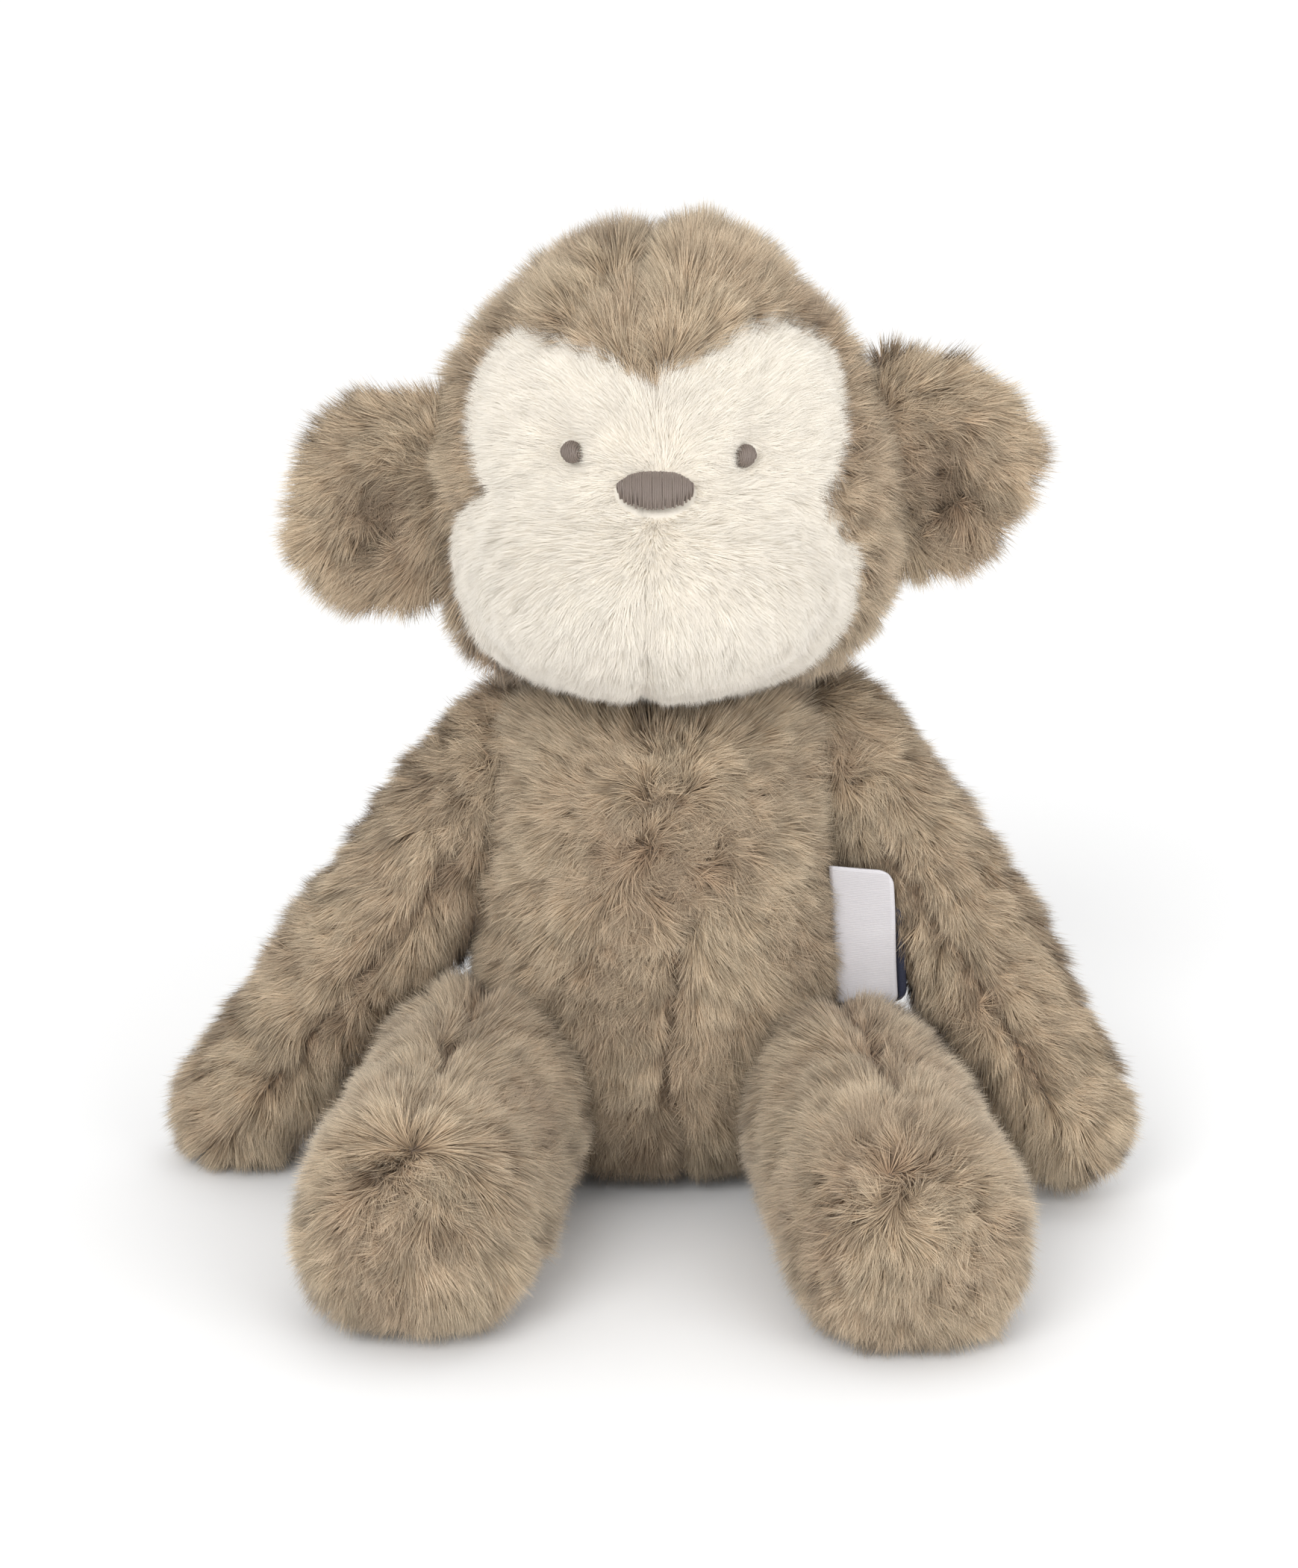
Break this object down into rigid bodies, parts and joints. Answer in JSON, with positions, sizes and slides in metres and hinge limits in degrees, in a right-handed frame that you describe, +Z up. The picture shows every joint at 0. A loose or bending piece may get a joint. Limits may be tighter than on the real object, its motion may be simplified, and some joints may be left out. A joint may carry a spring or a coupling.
{
  "type": "stuffed monkey",
  "caption": "Seated plush monkey with round ears, a cream mask and muzzle, long arms hanging to the floor, forward legs with round soles, and a side label.",
  "frame": {"origin": "middle of the flat seat, on the floor", "axes": "+Z up, the toy faces -Y, its own left side is +X"},
  "size_m": [0.2202, 0.1655, 0.2175],
  "materials": {
    "fur_taupe": "long taupe faux fur, darker at the root",
    "fur_cream": "short dense cream faux fur",
    "embroidery": "satin-stitched grey-brown thread",
    "fibre": "polyester fibre filling",
    "beans": "small plastic pellets in a pouch",
    "label_satin": "pale grey woven satin",
    "label_navy": "dark navy woven tape"
  },
  "bodies": {
    "torso": {"seat_panel": "fur_taupe", "belly_panel_left": "fur_taupe", "belly_panel_right": "fur_taupe", "back_panel_left": "fur_taupe", "back_panel_right": "fur_taupe", "seat_bean_bag": "beans", "torso_stuffing": "fibre"},
    "neck": {"neck_wad": "fibre"},
    "head": {"head_pelt_left": "fur_taupe", "head_pelt_right": "fur_taupe", "head_pelt_back": "fur_taupe", "face_mask": "fur_cream", "muzzle_left": "fur_cream", "muzzle_right": "fur_cream", "head_stuffing": "fibre", "nose_embroidery": "embroidery", "eye_left_embroidery": "embroidery", "eye_right_embroidery": "embroidery"},
    "label": {"sewn_label": "label_satin", "care_label": "label_navy"},
    "ear_left": {"ear_left_front_panel": "fur_taupe", "ear_left_back_panel": "fur_taupe"},
    "ear_right": {"ear_right_front_panel": "fur_taupe", "ear_right_back_panel": "fur_taupe"},
    "shoulder_left": {"shoulder_left_wad": "fibre"},
    "arm_left": {"arm_left_outer_panel": "fur_taupe", "arm_left_inner_panel": "fur_taupe", "arm_left_stuffing": "fibre"},
    "shoulder_right": {"shoulder_right_wad": "fibre"},
    "arm_right": {"arm_right_outer_panel": "fur_taupe", "arm_right_inner_panel": "fur_taupe", "arm_right_stuffing": "fibre"},
    "hip_left": {"hip_left_wad": "fibre"},
    "leg_left": {"leg_left_outer_panel": "fur_taupe", "leg_left_inner_panel": "fur_taupe", "foot_left_sole": "fur_taupe", "leg_left_stuffing": "fibre"},
    "hip_right": {"hip_right_wad": "fibre"},
    "leg_right": {"leg_right_outer_panel": "fur_taupe", "leg_right_inner_panel": "fur_taupe", "foot_right_sole": "fur_taupe", "leg_right_stuffing": "fibre"}
  },
  "joints": [
    {"name": "neck_turn", "type": "hinge", "parent": "torso", "child": "neck", "pos_m": [0, 0, 0.105], "axis": [0, 0, 1], "range_deg": [-25, 25], "stiffness_Nm_per_rad": 0.1},
    {"name": "head_nod", "type": "hinge", "parent": "neck", "child": "head", "pos_m": [0, 0, 0.105], "axis": [1, 0, 0], "range_deg": [-12, 16], "stiffness_Nm_per_rad": 0.4},
    {"name": "ear_left_fold", "type": "hinge", "parent": "head", "child": "ear_left", "pos_m": [0.0515, 0.002, 0.162], "axis": [0, 0, -1], "range_deg": [-20, 20], "stiffness_Nm_per_rad": 0.01},
    {"name": "ear_right_fold", "type": "hinge", "parent": "head", "child": "ear_right", "pos_m": [-0.0515, 0.002, 0.154], "axis": [0, 0, 1], "range_deg": [-20, 20], "stiffness_Nm_per_rad": 0.01},
    {"name": "arm_left_swing", "type": "hinge", "parent": "torso", "child": "shoulder_left", "pos_m": [0.0435, 0.009, 0.089], "axis": [-1, 0, 0], "range_deg": [-30, 90]},
    {"name": "arm_left_raise", "type": "hinge", "parent": "shoulder_left", "child": "arm_left", "pos_m": [0.0435, 0.009, 0.089], "axis": [0, -1, 0], "range_deg": [0, 80]},
    {"name": "arm_right_swing", "type": "hinge", "parent": "torso", "child": "shoulder_right", "pos_m": [-0.0435, 0.009, 0.089], "axis": [-1, 0, 0], "range_deg": [-30, 90]},
    {"name": "arm_right_raise", "type": "hinge", "parent": "shoulder_right", "child": "arm_right", "pos_m": [-0.0435, 0.009, 0.089], "axis": [0, 1, 0], "range_deg": [0, 80]},
    {"name": "leg_left_lift", "type": "hinge", "parent": "torso", "child": "hip_left", "pos_m": [0.041, -0.028, 0.026], "axis": [-1, 0, 0], "range_deg": [-40, 25]},
    {"name": "leg_left_splay", "type": "hinge", "parent": "hip_left", "child": "leg_left", "pos_m": [0.041, -0.028, 0.026], "axis": [0, 0, 1], "range_deg": [-6, 16]},
    {"name": "leg_right_lift", "type": "hinge", "parent": "torso", "child": "hip_right", "pos_m": [-0.041, -0.028, 0.026], "axis": [-1, 0, 0], "range_deg": [-40, 25]},
    {"name": "leg_right_splay", "type": "hinge", "parent": "hip_right", "child": "leg_right", "pos_m": [-0.041, -0.028, 0.026], "axis": [0, 0, -1], "range_deg": [-6, 16]},
    {"name": "label_flap", "type": "hinge", "parent": "torso", "child": "label", "pos_m": [0.0405, -0.0155, 0.062], "axis": [0, 0, -1], "range_deg": [0, 40], "stiffness_Nm_per_rad": 0.0004}
  ]
}
